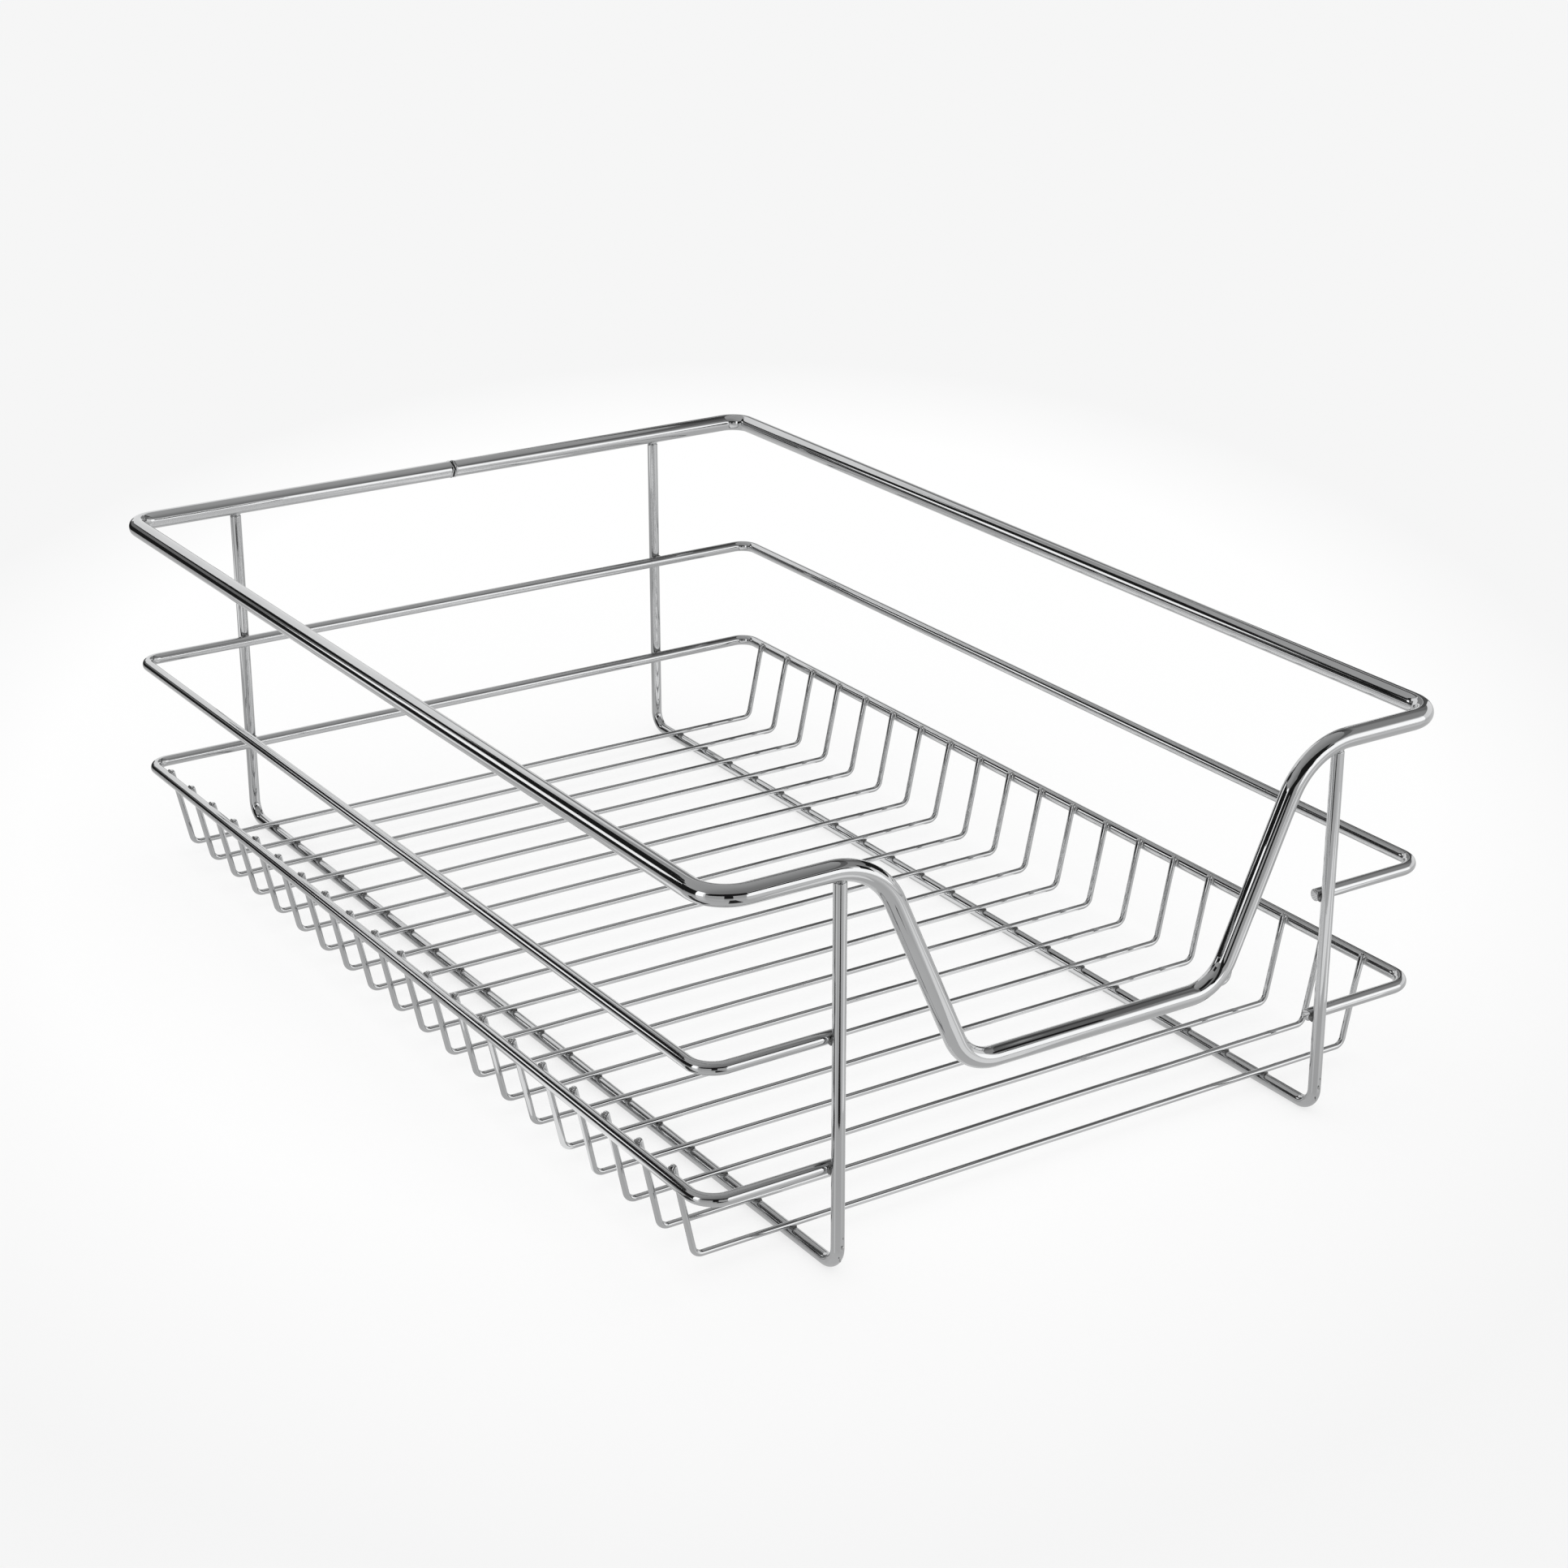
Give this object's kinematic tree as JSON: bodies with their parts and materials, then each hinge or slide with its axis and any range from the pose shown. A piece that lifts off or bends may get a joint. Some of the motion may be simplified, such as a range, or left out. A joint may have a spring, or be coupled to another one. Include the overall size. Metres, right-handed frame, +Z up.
{
  "type": "pull-out wire basket",
  "caption": "Chromed wire basket of a pull-out cupboard drawer: thick rim with a dipped front, two rails inside U frames, thin floor wires bent up at the sides.",
  "frame": {"origin": "on the floor under the middle of the basket, at the height of the frames' underside", "axes": "+Z up; the dipped front faces -Y, which is the way the basket is pulled out; +X to the right seen from the front"},
  "size_m": [0.335, 0.5127, 0.1618],
  "materials": {
    "chrome_wire": "bright chrome plate over drawn steel wire, with small weld marks at the crossings"
  },
  "bodies": {
    "root": {"top_rim": "chrome_wire", "middle_rail": "chrome_wire", "lower_rail": "chrome_wire", "left_frame": "chrome_wire", "right_frame": "chrome_wire", "cross_wire_01": "chrome_wire", "cross_wire_02": "chrome_wire", "cross_wire_03": "chrome_wire", "cross_wire_04": "chrome_wire", "cross_wire_05": "chrome_wire", "cross_wire_06": "chrome_wire", "cross_wire_07": "chrome_wire", "cross_wire_08": "chrome_wire", "cross_wire_09": "chrome_wire", "cross_wire_10": "chrome_wire", "cross_wire_11": "chrome_wire", "cross_wire_12": "chrome_wire", "cross_wire_13": "chrome_wire", "cross_wire_14": "chrome_wire", "cross_wire_15": "chrome_wire", "cross_wire_16": "chrome_wire", "cross_wire_17": "chrome_wire", "cross_wire_18": "chrome_wire", "cross_wire_19": "chrome_wire", "cross_wire_20": "chrome_wire"}
  },
  "joints": []
}
